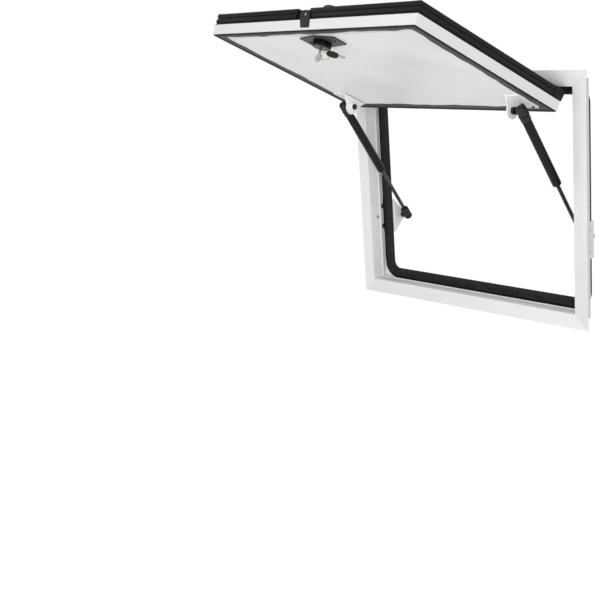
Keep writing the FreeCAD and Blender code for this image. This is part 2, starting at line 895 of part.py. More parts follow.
def latch_tab():
    # The catch lies on the free edge, narrows inwards and hooks over the rubber's outer face.
    catch = new_body("latch_tab", door_place)
    half = d.latch_width / 2
    tip = d.latch_tip / 2
    inner = door_middle + d.latch_reach
    outer = door_outer - d.latch_thick
    outline = [
        (-half, outer),
        (half, outer),
        (half, inner - d.latch_taper),
        (tip, inner),
        (-tip, inner),
        (-half, inner - d.latch_taper),
    ]
    start = door_bottom - d.latch_thick
    pad(catch, "XY", start, d.latch_thick, lambda sketch: draw_polygon(sketch, outline))
    hook = box_outline((-half, start), (half, door_bottom + d.latch_hook))
    pad(catch, "XZ", outer, d.latch_thick, hook)
    hole = lambda sketch: draw_circle(sketch, (size(0), door_outer + d.rim_first_rib), d.latch_hole)
    cut(catch, "XY", start, d.latch_thick, hole)


def lock_knobs(place):
    knob_foot = door_outer - d.spindle_gap
    boss_foot = door_inner + d.lock_plate_thick + d.spindle_gap
    spindle = new_body("lock_spindle", place)
    bar = lambda sketch: draw_circle(sketch, (size(0), size(0)), d.spindle_radius)
    pad(spindle, "XZ", knob_foot, boss_foot - knob_foot, bar)
    knob = new_body("lock_outer_knob", place)
    top = knob_foot - d.knob_height
    bend = d.knob_round
    profile = [
        (size(0), knob_foot),
        (d.knob_radius, knob_foot),
        (d.knob_radius, top + bend),
        (d.knob_radius - bend, top),
        (size(0), top),
    ]
    revolve(knob, "XY", "V_Axis", profile, {2: ((d.knob_radius - bend, top + bend), bend, -1)})
    slot_half = (d.keyway_length / 2, d.keyway_width / 2)
    slot = box_outline((-slot_half[0], -slot_half[1]), slot_half)
    cut(knob, "XZ", top, d.keyway_depth, slot)
    boss = new_body("lock_inner_knob", place)
    top = boss_foot + d.boss_height
    bend = d.boss_round
    profile = [
        (size(0), boss_foot),
        (d.boss_radius, boss_foot),
        (d.boss_radius, top - bend),
        (d.boss_radius - bend, top),
        (size(0), top),
    ]
    revolve(boss, "XY", "V_Axis", profile, {2: ((d.boss_radius - bend, top - bend), bend, 1)})
    flute = lambda sketch: draw_circle(sketch, (d.boss_radius, size(0)), d.flute_radius)
    first = cut(boss, "XZ", boss_foot, d.boss_height, flute)
    flutes = boss.newObject("PartDesign::PolarPattern", "lock_inner_knob_flutes")
    flutes.Originals = [first]
    flutes.Axis = (first.Profile[0], ["N_Axis"])
    flutes.Angle = 360
    flutes.Occurrences = FLUTES
    boss.Tip = flutes


def key_shape(label, bow, blade, hole, place):
    # A key lies in the XY plane: a round bow at the origin, a blade along -Y and a ring hole at +Y.
    body = doc.addObject("Part::Cylinder", label + "_bow")
    body.setExpression("Radius", bow.text)
    body.setExpression("Height", d.key_thick.text)
    half = d.key_thick.value / 2
    body.Placement.Base = FreeCAD.Vector(0, 0, -half)
    bar = doc.addObject("Part::Box", label + "_blade")
    bar.setExpression("Length", d.key_blade.text)
    bar.setExpression("Width", blade.text)
    bar.setExpression("Height", d.key_thick.text)
    bar.Placement.Base = FreeCAD.Vector(-d.key_blade.value / 2, -blade.value, -half)
    whole = doc.addObject("Part::Fuse", label + "_blank")
    whole.Base = body
    whole.Tool = bar
    eye = doc.addObject("Part::Cylinder", label + "_eye")
    eye.setExpression("Radius", d.key_hole.text)
    eye.setExpression("Height", (d.key_thick * 2).text)
    eye.Placement.Base = FreeCAD.Vector(0, hole.value, -2 * half)
    key = doc.addObject("Part::Cut", label)
    key.Base = whole
    key.Tool = eye
    key.Placement = place
    return key


def lock_keys(place):
    # One key stands in the lock, and a ring through its bow carries the spare.
    stand = door_inner + d.lock_plate_thick + d.spindle_gap + d.boss_height
    bow_y = stand + d.key_bow_stand
    blade = d.key_bow_stand - d.spindle_gap
    hole = d.key_bow - d.key_hole_inset
    bow_place = FreeCAD.Placement(FreeCAD.Vector(0, bow_y.value, 0), FreeCAD.Rotation())
    first = key_shape("lock_key", d.key_bow, blade, hole, bow_place)
    start = FreeCAD.Vector(0, (bow_y + hole).value, 0)
    end = FreeCAD.Vector(d.spare_run.value, (stand + d.spare_stand).value, 0)
    lean = FreeCAD.Rotation(Z_AXIS, 90 + d.spare_lean.value)
    grip = d.grip_length / 2
    inset = grip - d.key_hole_inset
    centre = end - lean.multVec(FreeCAD.Vector(0, inset.value, 0))
    spare = key_shape("spare_key", grip, grip + d.spare_blade, inset, FreeCAD.Placement(centre, lean))
    ring = doc.addObject("Part::Torus", "key_ring")
    span = end - start
    ring.Radius1 = span.Length / 2
    ring.setExpression("Radius2", d.ring_wire.text)
    across = FreeCAD.Rotation(Z_AXIS, span.cross(Z_AXIS))
    ring.Placement = FreeCAD.Placement((start + end) / 2, across)
    keys = doc.addObject("Part::Compound", "lock_keys")
    keys.Links = [first, spare, ring]
    keys.Label = "lock_keys"
    keys.Placement = place
    pieces.append(keys)


def lock():
    shift = FreeCAD.Placement(FreeCAD.Vector(0, 0, lock_z.value), FreeCAD.Rotation())
    place = door_place.multiply(shift)
    lock_plate()
    latch_tab()
    lock_knobs(place)
    lock_keys(place)


frame_rails()
frame_seal()
corner_keys()
hinge()
door_edges()
rim_seal()
door_panels()
for side_name, side_sign in SIDES.items():
    frame_bracket(side_name, side_sign)
    frame_stud(side_name, side_sign)
    door_bracket(side_name, side_sign)
    door_stud(side_name, side_sign)
    strut_upper(side_name, side_sign)
    strut_lower(side_name, side_sign)
lock()
doc.recompute()

failed = [item.Name for item in doc.Objects if {"Invalid", "Error"} & set(item.State)]
if failed:
    raise RuntimeError("features failed: %s" % ", ".join(failed))
for piece in pieces:
    if piece.Shape.isNull() or not piece.Shape.isValid():
        raise RuntimeError("bad shape: %s" % piece.Label)

os.makedirs("parts", exist_ok=True)
for piece in pieces:
    piece.Shape.exportStep(os.path.join("parts", piece.Label + ".step"))
print("strut length %.2f lean %.3f" % (strut_length.value, strut_lean))
print("%d pieces" % len(pieces))
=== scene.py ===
import json
import math

import bmesh
import bpy
from mathutils import Matrix, Vector


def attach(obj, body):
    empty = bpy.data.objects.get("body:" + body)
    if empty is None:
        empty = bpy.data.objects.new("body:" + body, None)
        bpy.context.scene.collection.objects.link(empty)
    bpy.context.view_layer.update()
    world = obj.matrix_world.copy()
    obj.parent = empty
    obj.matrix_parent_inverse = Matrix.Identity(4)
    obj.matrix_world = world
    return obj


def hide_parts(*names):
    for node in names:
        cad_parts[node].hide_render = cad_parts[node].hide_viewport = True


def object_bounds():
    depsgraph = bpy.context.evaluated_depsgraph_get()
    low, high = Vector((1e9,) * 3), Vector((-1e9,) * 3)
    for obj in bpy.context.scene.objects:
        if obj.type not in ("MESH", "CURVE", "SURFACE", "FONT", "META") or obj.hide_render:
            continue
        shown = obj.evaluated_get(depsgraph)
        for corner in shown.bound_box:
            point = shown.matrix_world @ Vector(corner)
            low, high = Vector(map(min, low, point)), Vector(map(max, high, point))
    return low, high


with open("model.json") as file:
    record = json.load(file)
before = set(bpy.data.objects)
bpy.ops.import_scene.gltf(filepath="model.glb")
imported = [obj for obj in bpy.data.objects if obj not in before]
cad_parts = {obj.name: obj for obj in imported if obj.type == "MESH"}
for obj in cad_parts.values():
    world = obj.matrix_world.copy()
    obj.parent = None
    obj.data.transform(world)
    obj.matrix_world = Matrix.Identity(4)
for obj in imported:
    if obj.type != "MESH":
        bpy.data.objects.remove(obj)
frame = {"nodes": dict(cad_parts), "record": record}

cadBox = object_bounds()
scene = bpy.context.scene
mm = 0.001  # lengths below are in mm and angles in degrees, unless a note says otherwise
print("frame loaded:", len(frame["nodes"]), "nodes")


# Colours are written as sRGB hex and turned to linear here.
def linear(hexColour):
    channels = [int(hexColour[i:i + 2], 16) / 255 for i in (1, 3, 5)]
    return [c / 12.92 if c <= 0.04045 else ((c + 0.055) / 1.055) ** 2.4 for c in channels] + [1]


# Adds one node, sets its own settings and input values, and links its inputs.
def addNode(tree, kind, settings=None, values=None, links=None):
    node = tree.nodes.new(kind)
    for name, value in (settings or {}).items():
        setattr(node, name, value)
    for name, value in (values or {}).items():
        node.inputs[name].default_value = value
    for name, socket in (links or {}).items():
        tree.links.new(socket, node.inputs[name])
    return node


def newMaterial(name, constants):
    material = bpy.data.materials.new(name)
    material.use_nodes = True
    shader = material.node_tree.nodes["Principled BSDF"]
    for socket, value in constants.items():
        shader.inputs[socket].default_value = value
    return material, material.node_tree, shader


grainLook = {"cloudDetail": 4, "grainDetail": 2, "rampSpan": (0.3, 0.7), "bumpDepth": 0.3}


# Colour and roughness wander a little with a noise, and a finer noise gives the bump.
def grainFinish(name, look):
    material, tree, shader = newMaterial(name, look["constants"])
    place = addNode(tree, "ShaderNodeTexCoord").outputs["Object"]
    cloud = addNode(tree, "ShaderNodeTexNoise", links={"Vector": place},
                    values={"Scale": 1 / (look["cloudMm"] * mm), "Detail": grainLook["cloudDetail"]})
    ramp = addNode(tree, "ShaderNodeValToRGB", links={"Fac": cloud.outputs["Fac"]})
    for element, at, colour in zip(ramp.color_ramp.elements, grainLook["rampSpan"], look["colours"]):
        element.position = at
        element.color = linear(colour)
    tree.links.new(ramp.outputs["Color"], shader.inputs["Base Color"])
    rough = addNode(tree, "ShaderNodeMapRange", links={"Value": cloud.outputs["Fac"]},
                    values={"To Min": look["roughness"][0], "To Max": look["roughness"][1]})
    tree.links.new(rough.outputs["Result"], shader.inputs["Roughness"])
    grain = addNode(tree, "ShaderNodeTexNoise", links={"Vector": place},
                    values={"Scale": 1 / (look["grainMm"] * mm), "Detail": grainLook["grainDetail"]})
    depth = look["grainMm"] * mm * grainLook["bumpDepth"]
    bump = addNode(tree, "ShaderNodeBump", links={"Height": grain.outputs["Fac"]},
                   values={"Strength": look["bump"], "Distance": depth})
    tree.links.new(bump.outputs["Normal"], shader.inputs["Normal"])
    return material


finishes = {
    # powder-coated aluminium extrusion: even white, a faint orange peel, soft gloss
    "powderCoat": grainFinish("powder_coated_aluminium", {
        "colours": ("#E9E9E9", "#EEEEEE"), "roughness": (0.36, 0.44), "cloudMm": 60, "grainMm": 1.6,
        "bump": 0.06, "constants": {"IOR": 1.5}}),
    # glass-fibre sheet with a gel coat: slightly greyer, faint cloudiness
    "gelCoat": grainFinish("gel_coated_sheet", {
        "colours": ("#E8E8E8", "#F4F4F4"), "roughness": (0.3, 0.45), "cloudMm": 110, "grainMm": 3.0,
        "bump": 0.04, "constants": {"IOR": 1.5}}),
    # extruded EPDM rubber: matt black with a grey bloom
    "rubber": grainFinish("extruded_epdm_rubber", {
        "colours": ("#0A0A0B", "#111112"), "roughness": (0.5, 0.65), "cloudMm": 14, "grainMm": 0.8,
        "bump": 0.12, "constants": {"Specular IOR Level": 0.2}}),
    # cellular rubber of the frame's seal: charcoal, with hardly any sheen
    "sealRubber": grainFinish("cellular_epdm_rubber", {
        "colours": ("#1F1F20", "#313133"), "roughness": (0.6, 0.75), "cloudMm": 9, "grainMm": 0.9,
        "bump": 0.14, "constants": {"Specular IOR Level": 0.12}}),
    # soft PVC lip of the trim: charcoal, duller than the bead
    "softLip": grainFinish("soft_pvc_lip", {
        "colours": ("#2E2E30", "#3A3A3C"), "roughness": (0.55, 0.7), "cloudMm": 22, "grainMm": 1.1,
        "bump": 0.12, "constants": {"IOR": 1.48}}),
    # stove-enamelled steel tube: black, satin
    "blackEnamel": grainFinish("black_enamelled_steel", {
        "colours": ("#070708", "#0B0B0C"), "roughness": (0.36, 0.48), "cloudMm": 22, "grainMm": 1.0,
        "bump": 0.05, "constants": {"Specular IOR Level": 0.22}}),
    # nitrided piston rod: dark polished steel
    "nitridedRod": grainFinish("nitrided_steel_rod", {
        "colours": ("#3E3F42", "#4E4F53"), "roughness": (0.3, 0.4), "cloudMm": 9, "grainMm": 0.6,
        "bump": 0.03, "constants": {"Metallic": 1.0}}),
    # glass-filled nylon: moulded black with a fine spark-eroded grain
    "nylon": grainFinish("moulded_black_nylon", {
        "colours": ("#0E0E0F", "#141415"), "roughness": (0.45, 0.58), "cloudMm": 10, "grainMm": 0.9,
        "bump": 0.16, "constants": {"Specular IOR Level": 0.35}}),
    # polished black plastic of the lock's turning boss
    "glossNylon": grainFinish("polished_black_nylon", {
        "colours": ("#0A0A0B", "#0E0E0F"), "roughness": (0.28, 0.4), "cloudMm": 10, "grainMm": 1.2,
        "bump": 0.04, "constants": {"Specular IOR Level": 0.2}}),
    # the lock's plate: dark grey nylon with the same grain
    "greyNylon": grainFinish("moulded_grey_nylon", {
        "colours": ("#2E2E30", "#38383A"), "roughness": (0.45, 0.58), "cloudMm": 10, "grainMm": 0.9,
        "bump": 0.16, "constants": {"Specular IOR Level": 0.35}}),
    # bright zinc plate on steel
    "zincPlate": grainFinish("zinc_plated_steel", {
        "colours": ("#B9BCC0", "#CDD0D3"), "roughness": (0.28, 0.42), "cloudMm": 5, "grainMm": 0.7,
        "bump": 0.05, "constants": {"Metallic": 1.0}}),
    # nickel-plated brass key: bright, lightly scuffed
    "keyNickel": grainFinish("nickel_plated_brass", {
        "colours": ("#A9A8A4", "#C2C1BD"), "roughness": (0.16, 0.3), "cloudMm": 3, "grainMm": 0.4,
        "bump": 0.05, "constants": {"Metallic": 1.0}}),
    # anodised aluminium rivet: dull grey
    "dullRivet": grainFinish("anodised_aluminium", {
        "colours": ("#7E8083", "#8C8E91"), "roughness": (0.4, 0.5), "cloudMm": 3, "grainMm": 0.5,
        "bump": 0.04, "constants": {"Metallic": 0.6}}),
    # extruded polystyrene board between the two sheets
    "foam": grainFinish("polystyrene_foam", {
        "colours": ("#E4E2DA", "#EFEDE6"), "roughness": (0.8, 0.9), "cloudMm": 6, "grainMm": 1.5,
        "bump": 0.4, "constants": {"IOR": 1.45}}),
}
print("finishes made:", len(finishes))

# The record says which body a node is on and where the joints are.
jointOf = {joint["name"]: joint for joint in frame["record"]["behaviour"]["joints"]}
bodyOf = {name: body for body, names in frame["record"]["behaviour"]["bodies"].items() for name in names}

# The door stands open in the frame: a point of the shut door is turned about the hinge to its place.
doorJoint = jointOf["door_hinge"]
hingePoint = Vector(doorJoint["pos_m"])
openTurn = Matrix.Rotation(-math.radians(doorJoint["range_deg"][1]), 4, "X")
doorOpen = Matrix.Translation(hingePoint) @ openTurn @ Matrix.Translation(-hingePoint)
asBuilt = Matrix.Identity(4)
lockHeight = (doorOpen.inverted() @ Vector(jointOf["lock_turn"]["pos_m"])).z / mm  # on the shut door
bothSides = (-1, 1)


def placeObject(name, data):
    item = bpy.data.objects.new(name, data)
    scene.collection.objects.link(item)
    return item


# What the object's modifiers or curve settings make of it, as a plain mesh; the object itself goes.
def plainMesh(holder):
    mesh = bpy.data.meshes.new_from_object(holder.evaluated_get(bpy.context.evaluated_depsgraph_get()))
    bpy.data.objects.remove(holder)
    return mesh


# Edges that fold by more than the angle stay sharp.
def shadeSmooth(mesh, sharpAngle):
    for face in mesh.polygons:
        face.use_smooth = True
    mesh.set_sharp_from_angle(angle=math.radians(sharpAngle))


# Which finish each node gets, and how far its edges are eased.
nodeFinish = {
    "powderCoat": ["frame_bottom_rail", "frame_top_rail", "frame_left_rail", "frame_right_rail",
                   "frame_corner_keys", "left_frame_bracket", "right_frame_bracket",
                   "left_door_bracket", "right_door_bracket",
                   "door_bottom_edge", "door_top_edge", "door_left_edge", "door_right_edge"],
    "gelCoat": ["door_outer_skin", "door_inner_panel"],
    "rubber": ["door_rim_seal"],
    "greyNylon": ["lock_outer_knob"],
    "blackEnamel": ["left_strut_tube", "right_strut_tube", "hinge_frame_leaf", "hinge_door_leaf"],
    "nitridedRod": ["left_strut_rod", "right_strut_rod"],
    "nylon": ["left_strut_upper_socket", "right_strut_upper_socket", "left_strut_lower_socket",
              "right_strut_lower_socket",
              "left_frame_stud", "right_frame_stud", "left_door_stud", "right_door_stud"],
    "glossNylon": ["lock_inner_knob"],
    "zincPlate": ["hinge_pin", "lock_spindle"],
    "foam": ["door_core"],
}
easing = {"width": 0.5, "segments": 2, "fromAngle": 35, "sharpAngle": 25, "flatAngle": 1, "weld": 0.001,
          "narrower": {"door_rim_seal": 0.4, "frame_bottom_rail": 0.3, "frame_top_rail": 0.3,
                       "frame_left_rail": 0.3, "frame_right_rail": 0.3}}
keptPlain = ["door_core", "hinge_pin", "lock_spindle", "door_outer_skin", "door_inner_panel"]

# Drawn as far as the photo shows them: the tubes end shorter at their rod ends, the upper sockets are
# fuller, the outside knob stands taller, and the rim's notch for the catch goes deeper (corners of the
# cut on the shut door).
tubeTrim = {"nodes": ("left_strut_tube", "right_strut_tube"), "shorter": 8.0}
socketSwell = {"nodes": ("left_strut_upper_socket", "right_strut_upper_socket"), "factor": 1.14}
knobRise = {"node": "lock_outer_knob", "taller": 11.2, "foot": 2.0}
rimNotch = {"node": "door_rim_seal", "low": (-33, -12, 18), "high": (-1.5, 22, 36)}


def reshape(nodeName, points):
    side = nodeName.split("_")[0]
    if nodeName in tubeTrim["nodes"]:
        along = Vector(jointOf[side + "_rod_slide"]["axis"])
        reach = [point.co.dot(along) for point in points]
        middle = (min(reach) + max(reach)) / 2
        for point in points:
            if point.co.dot(along) < middle:
                point.co += along * tubeTrim["shorter"] * mm
    if nodeName in socketSwell["nodes"]:
        pivot = Vector(jointOf[side + "_tube_pivot"]["pos_m"])
        for point in points:
            point.co = pivot + (point.co - pivot) * socketSwell["factor"]
    if nodeName == knobRise["node"]:
        outward = doorOpen.to_3x3() @ Vector((0, -1, 0))
        foot = min(point.co.dot(outward) for point in points)
        for point in points:
            if point.co.dot(outward) > foot + knobRise["foot"] * mm:
                point.co += outward * knobRise["taller"] * mm


def notchBlock():
    middle = [(a + b) / 2 * mm for a, b in zip(rimNotch["low"], rimNotch["high"])]
    span = [(b - a) * mm for a, b in zip(rimNotch["low"], rimNotch["high"])]
    place = doorOpen @ Matrix.Translation(middle) @ Matrix.Diagonal((*span, 1))
    shell = bmesh.new()
    bmesh.ops.create_cube(shell, size=1, matrix=place)
    mesh = bpy.data.meshes.new("notch_block")
    shell.to_mesh(mesh)
    shell.free()
    return placeObject("notch_block", mesh)


# A copy of a node with its facets joined to whole faces and its edges eased by a bevel.
def easedCopy(nodeName, material):
    mesh = frame["nodes"][nodeName].data.copy()
    shell = bmesh.new()
    shell.from_mesh(mesh)
    bmesh.ops.remove_doubles(shell, verts=shell.verts, dist=easing["weld"] * mm)
    bmesh.ops.dissolve_limit(shell, angle_limit=math.radians(easing["flatAngle"]), verts=shell.verts,
                             edges=shell.edges)
    reshape(nodeName, shell.verts)
    shell.to_mesh(mesh)
    shell.free()
    mesh.materials.clear()
    mesh.materials.append(material)
    for face in mesh.polygons:
        face.use_smooth = True
        face.material_index = 0
    rough = placeObject("rough", mesh)
    cutter = None
    if nodeName == rimNotch["node"]:
        cutter = notchBlock()
        notch = rough.modifiers.new("notch", "BOOLEAN")
        notch.object = cutter
    bevel = rough.modifiers.new("ease", "BEVEL")
    bevel.width = easing["narrower"].get(nodeName, easing["width"]) * mm
    bevel.segments = easing["segments"]
    bevel.limit_method = "ANGLE"
    bevel.angle_limit = math.radians(easing["fromAngle"])
    finished = plainMesh(rough)
    if cutter:
        bpy.data.objects.remove(cutter)
    finished.set_sharp_from_angle(angle=math.radians(easing["sharpAngle"]))
    return placeObject(nodeName + "_eased", finished)


for finishName, names in nodeFinish.items():
    for nodeName in names:
        material = finishes[finishName]
        if nodeName in keptPlain:
            mesh = frame["nodes"][nodeName].data
            mesh.materials.clear()
            mesh.materials.append(material)
            continue
        piece = easedCopy(nodeName, material)
        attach(piece, bodyOf[nodeName])
        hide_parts(nodeName)
print("nodes finished")


# Lowest and highest corner of a node, in millimetres, after its place is turned back.
def millimetreBox(nodeName, place):
    back = place.inverted()
    points = [back @ v.co / mm for v in frame["nodes"][nodeName].data.vertices]
    return [[pick(p[axis] for p in points) for axis in range(3)] for pick in (min, max)]


def addPiece(name, mesh, body, slot):
    piece = placeObject(name, mesh)
    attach(piece, body)
    return piece


# Stations round an upright rectangle with rounded corners, from startX on its lower side: place and
# outward direction, no further apart than about the step.
def roundTrip(low, high, radius, startX, step, cornerSteps):
    centres = [(high[0] - radius, low[2] + radius, -90), (high[0] - radius, high[2] - radius, 0),
               (low[0] + radius, high[2] - radius, 90), (low[0] + radius, low[2] + radius, 180)]
    stations = [(startX, low[2], 0, -1)]
    for x, z, first in centres:
        for k in range(cornerSteps + 1):
            angle = math.radians(first + 90 * k / cornerSteps)
            stations.append((x + radius * math.cos(angle), z + radius * math.sin(angle),
                             math.cos(angle), math.sin(angle)))
    stations.append(stations[0])
    trip = [stations[0]]
    for before, after in zip(stations, stations[1:]):
        count = max(1, round(math.dist(before[:2], after[:2]) / step))
        for k in range(1, count + 1):
            trip.append(tuple(a + (b - a) * k / count for a, b in zip(before, after)))
    return trip


stripSharp = 40


# Sweeps a closed section (inward, depth) along the stations; sectionAt gives it for each distance along,
# and toneOf says which of the materials each of its sides has.
def sweptStrip(name, trip, sectionAt, front, place, closed, materials, toneOf):
    shell = bmesh.new()
    rings = []
    along = 0.0
    previous = trip[0]
    stations = trip[:-1] if closed else trip
    for station in stations:
        along += math.dist(previous[:2], station[:2])
        previous = station
        x, z, outX, outZ = station
        ring = [(x - outX * inward, front + depth, z - outZ * inward) for inward, depth in sectionAt(along)]
        rings.append([shell.verts.new(place @ (Vector(point) * mm)) for point in ring])
    pairs = list(zip(rings, rings[1:])) + ([(rings[-1], rings[0])] if closed else [])
    count = len(rings[0])
    for one, two in pairs:
        for k in range(count):
            face = shell.faces.new((one[k], one[(k + 1) % count], two[(k + 1) % count], two[k]))
            face.material_index = toneOf(k)
            face.smooth = True
    if not closed:
        shell.faces.new(rings[0])
        shell.faces.new(rings[-1])
    bmesh.ops.recalc_face_normals(shell, faces=shell.faces)
    mesh = bpy.data.meshes.new(name)
    shell.to_mesh(mesh)
    shell.free()
    for material in materials:
        mesh.materials.append(material)
    mesh.set_sharp_from_angle(angle=math.radians(stripSharp))
    return mesh


# The frame's seal: a flat web and a bulb with two ribs, cut to length and butted on the lower side.
frameSeal = {"corner": 40, "cornerSteps": 14, "step": 14,
             "jointX": 23, "jointGap": 0.5, "jointStep": 0.7, "jointRun": 5,
             "section": [(0, 1.4), (6.0, 1.2), (6.8, 1.9), (7.6, 1.2), (11.4, 1.2), (12.4, 2.4), (13.4, 1.0),
                         (15.0, 0.2), (17.5, 0), (19.4, 0.2), (20.0, 1.0), (20.8, 0.6), (22.2, 1.2),
                         (23, 2.6), (23, 9.0), (22.2, 10.2), (18.0, 10.2), (13.0, 9.2), (0, 9.2)],
             "paintedShadeSides": (0, 18)}  # sides of the section in the darker black rubber: painted shade on the seal's outer faces


def makeFrameSeal():
    low, high = millimetreBox("frame_seal", asBuilt)
    trip = roundTrip(low, high, frameSeal["corner"], frameSeal["jointX"], frameSeal["step"],
                     frameSeal["cornerSteps"])
    gap = frameSeal["jointGap"]
    x, z, outX, outZ = trip[-1]
    trip[-1] = (x - gap, z, outX, outZ)
    run = frameSeal["jointRun"]
    trip.insert(-1, (x - gap - run, z, outX, outZ))
    length = sum(math.dist(a[:2], b[:2]) for a, b in zip(trip, trip[1:]))

    def sectionAt(along):
        near = max(0.0, 1 - (length - along) / run)
        return [(inward + near * frameSeal["jointStep"], depth) for inward, depth in frameSeal["section"]]

    # The outer faces get the darker rubber as painted shade; the other sides take the charcoal seal finish.
    def toneOf(k):
        return 1 if k in frameSeal["paintedShadeSides"] else 0

    mesh = sweptStrip("frame_seal_bulb", trip, sectionAt, low[1], asBuilt, False,
                      [finishes["sealRubber"], finishes["rubber"]], toneOf)
    piece = addPiece("frame_seal_bulb", mesh, "frame", "black_rubber")
    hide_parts("frame_seal")


makeFrameSeal()


# The trim round the inner panel: a dark bead outside and a soft lip that wanders a little, narrower along
# the free side. Waves are size, length and phase; the tip's points are inward from the lip's end, depth,
# and how much of the wave the depth follows.
innerTrim = {"corner": 3, "cornerSteps": 6, "step": 7, "freeSide": (5.5, 30),
             "bead": [(0, 0), (0.2, 1.2), (1.0, 1.9), (3.4, 2.0), (6.4, 1.9), (7.6, 1.2)],
             "lip": [(8.2, 0.9), (14, 1.1), (20, 0.9)], "lipEnd": 22.4,
             "tip": [(-0.8, 0.7, 0.12), (0, 0.35, 0), (-0.4, 0, 0)],
             "waves": [(1.3, 173, 0.4), (0.8, 71, 1.9), (0.5, 41, 0.2)]}


def makeInnerTrim():
    low, high = millimetreBox("door_inner_trim", doorOpen)
    trip = roundTrip(low, high, innerTrim["corner"], 0, innerTrim["step"], innerTrim["cornerSteps"])
    total = sum(math.dist(a[:2], b[:2]) for a, b in zip(trip, trip[1:]))
    narrower, run = innerTrim["freeSide"]

    def sectionAt(along):
        wave = sum(size * math.sin(math.tau * along / length + phase)
                   for size, length, phase in innerTrim["waves"])
        near = min(1.0, max(0.0, (high[0] - min(along, total - along)) / run))
        end = innerTrim["lipEnd"] + wave - narrower * near
        lip = [(inward * end / innerTrim["lipEnd"], depth) for inward, depth in innerTrim["lip"]]
        tip = [(end + inward, depth + share * wave) for inward, depth, share in innerTrim["tip"]]
        return innerTrim["bead"] + lip + tip

    def toneOf(k):
        return 0 if k < len(innerTrim["bead"]) else 1

    mesh = sweptStrip("door_inner_trim_lip", trip, sectionAt, low[1], doorOpen, True,
                      [finishes["rubber"], finishes["softLip"]], toneOf)
    piece = addPiece("door_inner_trim_lip", mesh, "door", "black_rubber")
    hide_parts("door_inner_trim")


makeInnerTrim()
print("seal and trim swept")


# Each part of a head: a drum (sides, across, tall, lift), a ball (across, tall, lift) or what both share,
# in shares of the head's radius and height, and whether it has the finish of the end.
headParts = {
    "pan": [((28, 1.0, 1.0, 0.4), (1.25, 1.0, 0.0), False)],
    "rivet": [((28, 1.0, 0.3, 0.15), None, False), (None, (0.74, 1.0, 0.2), True)],
    # The cap's small disc on top takes the end finish; on the jamb screws it is bright zinc, a painted
    # highlight on the black dome.
    "cap": [((28, 1.0, 1.0, 0.4), (1.3, 1.0, 0.0), False), ((20, 0.4, 0.2, 0.88), None, True)],
    "nut": [((32, 1.16, 0.14, 0.07), None, False), ((6, 1.0, 0.86, 0.57), (1.06, 1.35, 0.4), False),
            ((24, 0.8, 0.5, 1.1), (1.25, 0.9, 0.55), True)],
}
headLook = {"crossSlot": ((1.1, 0.22), (0.22, 1.1)), "ballSegments": 28, "ballRings": 14, "sharpAngle": 32}
headInputs = {"Radius": "NodeSocketFloat", "Height": "NodeSocketFloat", "Seed": "NodeSocketInt",
              "Finish": "NodeSocketMaterial", "End Finish": "NodeSocketMaterial"}


